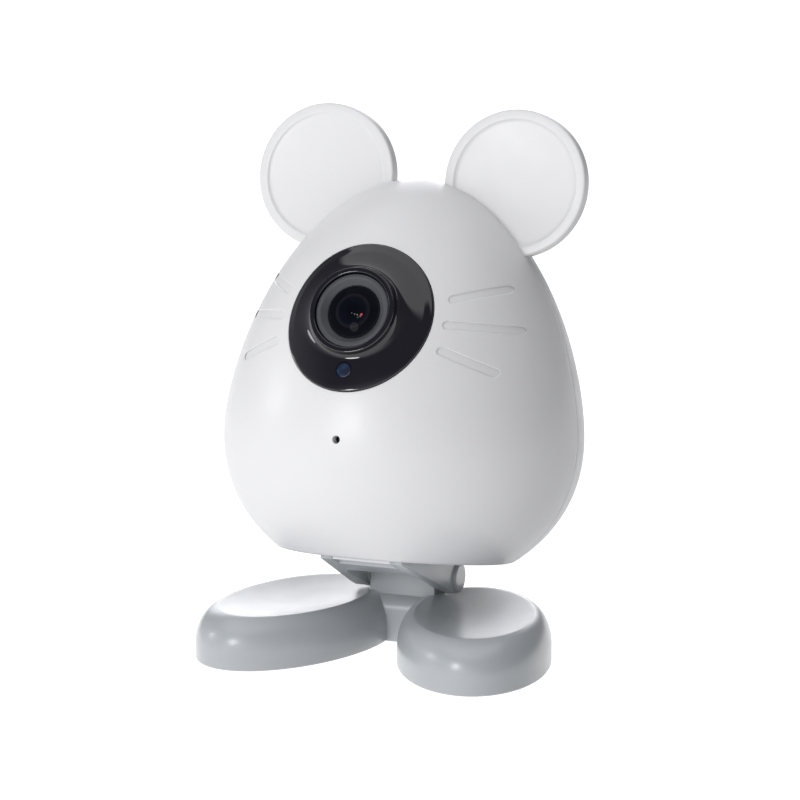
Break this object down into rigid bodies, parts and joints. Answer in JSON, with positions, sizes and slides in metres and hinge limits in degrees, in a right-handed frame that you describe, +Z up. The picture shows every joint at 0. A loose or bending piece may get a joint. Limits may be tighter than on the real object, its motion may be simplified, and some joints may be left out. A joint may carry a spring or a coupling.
{
  "type": "pet camera",
  "caption": "Egg-shaped pet camera with round dished ears, whisker grooves and a black lens window, tilting on a stand with oval feet.",
  "frame": {"origin": "middle of the object's footprint on the floor, straight below the head's widest ring", "axes": "the front faces -Y, +X is to the right as seen from the front, +Z is up"},
  "size_m": [0.0824, 0.0823, 0.1225],
  "materials": {
    "head_white": "satin gloss white moulding",
    "window_black": "polished near-black plastic that passes infrared",
    "indicator_blue": "dark blue tinted light pipe",
    "matte_black": "fine matte dark plastic",
    "lens_glass": "coated optical glass",
    "filter_tint": "thin coated filter glass",
    "board_green": "green solder resist",
    "sensor_dark": "dark sensor under cover glass",
    "bare_steel": "plain plated steel",
    "magnet_grey": "plated magnet",
    "coil_copper": "enamelled copper winding",
    "antenna_gold": "gold-coloured foil strip",
    "ribbon": "pale flat cable",
    "soft_rubber": "soft dark rubber",
    "cone_paper": "pressed speaker paper",
    "lamp_smoke": "smoky lamp resin",
    "button_grey": "grey moulded button",
    "stand_grey": "satin mid-grey moulding",
    "sole_grey": "matte grey plate",
    "washer_cream": "natural nylon"
  },
  "bodies": {
    "base": {"foot_base": "stand_grey", "sole_plate": "sole_grey", "sole_screws": "bare_steel", "foot_pads": "soft_rubber"},
    "head": {"front_shell": "head_white", "rear_shell": "head_white", "ir_window": "window_black", "indicator_lens": "indicator_blue", "lens_barrel": "matte_black", "lens_holder": "matte_black", "speaker_frame": "matte_black", "reset_switch": "matte_black", "lens_front_glass": "lens_glass", "lens_rear_glass": "lens_glass", "main_board": "board_green", "led_board": "board_green", "port_board": "board_green", "image_sensor": "sensor_dark", "shell_screws": "bare_steel", "main_board_screws": "bare_steel", "port_board_screws": "bare_steel", "bracket_screws": "bare_steel", "shield_can": "bare_steel", "usb_socket": "bare_steel", "card_socket": "bare_steel", "microphone": "bare_steel", "hinge_pin": "bare_steel", "speaker_magnet": "magnet_grey", "filter_actuator": "coil_copper", "wifi_antenna": "antenna_gold", "flat_cable": "ribbon", "microphone_boot": "soft_rubber", "speaker_gasket": "soft_rubber", "speaker_cone": "cone_paper", "ir_leds": "lamp_smoke", "tilt_bracket": "stand_grey", "hinge_caps": "stand_grey", "hinge_washers": "washer_cream"},
    "filter": {"filter_slider": "matte_black", "filter_glass": "filter_tint"},
    "button": {"reset_button": "button_grey"}
  },
  "joints": [
    {"name": "head_tilt", "type": "hinge", "parent": "base", "child": "head", "pos_m": [0, 0.002, 0.0155], "axis": [-1, 0, 0], "range_deg": [-9, 15]},
    {"name": "reset_press", "type": "slide", "parent": "head", "child": "button", "axis": [0, -0.982, 0.1891], "range_m": [0, 0.0004], "stiffness_N_per_m": 400},
    {"name": "filter_slide", "type": "slide", "parent": "head", "child": "filter", "axis": [1, 0, 0], "range_m": [0, 0.0065]}
  ]
}
